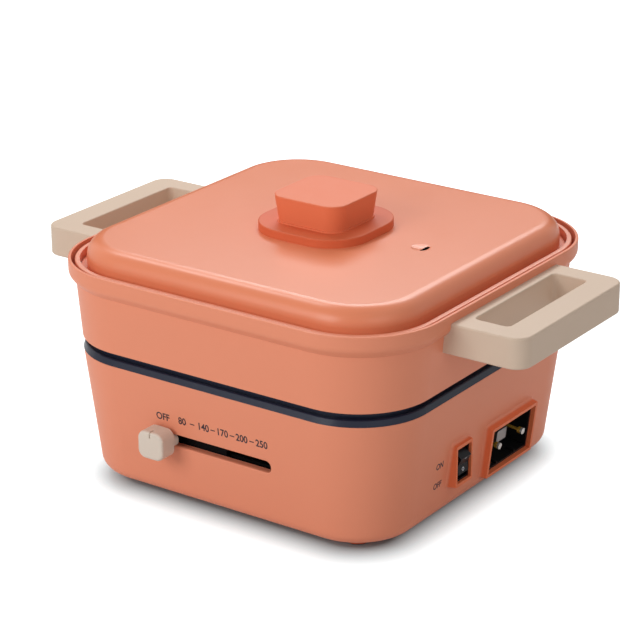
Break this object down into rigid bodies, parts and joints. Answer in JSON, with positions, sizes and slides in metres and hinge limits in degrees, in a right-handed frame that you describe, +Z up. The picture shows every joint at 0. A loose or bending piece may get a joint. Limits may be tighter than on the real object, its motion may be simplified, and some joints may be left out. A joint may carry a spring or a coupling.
{
  "type": "electric skillet",
  "caption": "Square electric table skillet: drafted base with slide control and rocker switch, lift-out guard with two loop handles, deep pan, domed lid with square knob.",
  "frame": {"origin": "on the surface the feet stand on, under the centre of the square body", "axes": "+Z up, +X to the right, through the loop handles, +Y to the back; the temperature slider faces -Y"},
  "size_m": [0.329, 0.243, 0.1671],
  "materials": {
    "salmon_enamel": "satin",
    "pot_coating": "non-stick, satin",
    "lid_enamel": "satin",
    "knob_plastic": "fine matt",
    "beige_plastic": "fine matt",
    "navy_enamel": "satin",
    "cover_plastic": "fine matt",
    "black_plastic": "satin",
    "switch_plastic": "satin",
    "slide_plastic": "matt",
    "gear_plastic": "natural acetal",
    "rubber": "matt",
    "element_steel": "heat-darkened",
    "plated_steel": "zinc plated",
    "spring_steel": "drawn wire",
    "aluminium": "turned",
    "brass": "turned",
    "ceramic": "unglazed ceramic",
    "bakelite": "moulded"
  },
  "bodies": {
    "base": {"housing": "salmon_enamel", "bottom_cover": "cover_plastic", "foot_pads": "rubber", "case_screws": "plated_steel", "heat_tray": "navy_enamel", "heater_element": "element_steel", "heater_bushes": "ceramic", "heater_terminals": "plated_steel", "heater_clips": "plated_steel", "tray_rivets": "plated_steel", "sensor_guide": "plated_steel", "sensor_spring": "spring_steel", "slide_guide": "slide_plastic", "guide_screws": "plated_steel", "thermostat_bracket": "plated_steel", "thermostat_body": "bakelite", "thermostat_blades": "brass", "switch_body": "switch_plastic", "switch_blades": "brass", "inlet_housing": "black_plastic", "inlet_pins": "brass", "inlet_keeper": "plated_steel", "inlet_screws": "plated_steel", "thermal_fuse": "plated_steel", "fuse_clip": "plated_steel"},
    "slider": {"slide_knob": "beige_plastic", "slide_carriage": "slide_plastic"},
    "pinion": {"slider_pinion": "gear_plastic", "thermostat_shaft": "brass"},
    "rocker": {"rocker": "switch_plastic"},
    "sensor": {"sensor_cap": "aluminium"},
    "guard": {"guard_shell": "salmon_enamel", "left_handle": "beige_plastic", "right_handle": "beige_plastic", "handle_screws": "plated_steel"},
    "pot": {"pot": "pot_coating"},
    "lid": {"lid_shell": "lid_enamel", "lid_knob_seat": "knob_plastic", "lid_knob": "knob_plastic", "lid_knob_screw": "plated_steel", "lid_knob_washer": "plated_steel"}
  },
  "joints": [
    {"name": "temperature_slide", "type": "slide", "parent": "base", "child": "slider", "axis": [1, 0, 0], "range_m": [0, 0.064]},
    {"name": "thermostat_turn", "type": "hinge", "parent": "base", "child": "pinion", "pos_m": [-0.0026, -0.08, 0.0439], "axis": [0, 0, 1], "range_deg": [0, 262]},
    {"name": "rocker_press", "type": "hinge", "parent": "base", "child": "rocker", "pos_m": [0.10674, -0.0263, 0.0356], "axis": [0, -1, 0], "range_deg": [0, 20]},
    {"name": "sensor_press", "type": "slide", "parent": "base", "child": "sensor", "axis": [0, 0, 1], "range_m": [-0.003, 0], "stiffness_N_per_m": 300, "springref_m": 0.002, "deforming": ["sensor_spring"]},
    {"name": "guard_lift", "type": "slide", "parent": "base", "child": "guard", "axis": [0, 0, 1], "range_m": [0, 0.06]},
    {"name": "pan_lift", "type": "slide", "parent": "guard", "child": "pot", "axis": [0, 0, 1], "range_m": [0, 0.08]},
    {"name": "lid_lift", "type": "slide", "parent": "pot", "child": "lid", "axis": [0, 0, 1], "range_m": [0, 0.06]}
  ],
  "couplings": [
    {"joint": "thermostat_turn", "follows": "temperature_slide", "rad_per_m": 71.429}
  ]
}
